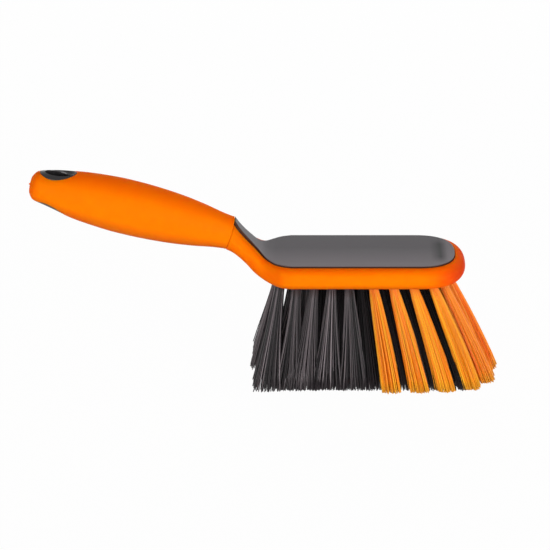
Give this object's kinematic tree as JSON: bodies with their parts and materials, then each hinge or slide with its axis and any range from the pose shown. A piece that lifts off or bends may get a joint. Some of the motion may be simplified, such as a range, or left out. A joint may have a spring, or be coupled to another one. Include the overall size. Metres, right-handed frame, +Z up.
{
  "type": "scrub brush",
  "caption": "Hand scrub brush with a round-nosed head of flared filament tufts, a soft-covered handle rising from one end and a hanging eye.",
  "frame": {"origin": "middle of the overall length and width, on the plane of the bristle tips", "axes": "+X along the head towards its round nose, with the handle at -X; +Y across the head; +Z up from the bristle tips to the top panel"},
  "size_m": [0.2779, 0.0801, 0.126],
  "materials": {
    "black_plastic": "satin moulded black plastic",
    "orange_soft_plastic": "matt orange soft-touch moulding",
    "black_filament": "semi-gloss black filament",
    "orange_filament": "semi-gloss orange filament"
  },
  "bodies": {
    "root": {"black_tuft_row1_01": "black_filament", "black_tuft_row1_02": "black_filament", "black_tuft_row1_03": "black_filament", "black_tuft_row1_04": "black_filament", "black_tuft_row2_01": "black_filament", "black_tuft_row2_02": "black_filament", "black_tuft_row2_03": "black_filament", "black_tuft_row2_04": "black_filament", "black_tuft_row2_05": "black_filament", "black_tuft_row2_06": "black_filament", "black_tuft_row2_07": "black_filament", "black_tuft_row2_08": "black_filament", "black_tuft_row3_01": "black_filament", "black_tuft_row3_02": "black_filament", "black_tuft_row3_03": "black_filament", "black_tuft_row3_04": "black_filament", "black_tuft_row3_05": "black_filament", "black_tuft_row3_06": "black_filament", "black_tuft_row3_07": "black_filament", "black_tuft_row3_08": "black_filament", "black_tuft_row3_09": "black_filament", "black_tuft_row4_01": "black_filament", "black_tuft_row4_02": "black_filament", "black_tuft_row4_03": "black_filament", "black_tuft_row4_04": "black_filament", "black_tuft_row4_05": "black_filament", "black_tuft_row4_06": "black_filament", "black_tuft_row4_07": "black_filament", "black_tuft_row4_08": "black_filament", "black_tuft_row5_01": "black_filament", "black_tuft_row5_02": "black_filament", "black_tuft_row5_03": "black_filament", "black_tuft_row5_04": "black_filament", "core_moulding": "black_plastic", "handle_grip": "orange_soft_plastic", "head_bumper": "orange_soft_plastic", "orange_tuft_row1_05": "orange_filament", "orange_tuft_row1_06": "orange_filament", "orange_tuft_row1_07": "orange_filament", "orange_tuft_row1_08": "orange_filament", "orange_tuft_row2_09": "orange_filament", "orange_tuft_row3_10": "orange_filament", "orange_tuft_row4_09": "orange_filament", "orange_tuft_row5_05": "orange_filament", "orange_tuft_row5_06": "orange_filament", "orange_tuft_row5_07": "orange_filament", "orange_tuft_row5_08": "orange_filament"}
  },
  "joints": []
}
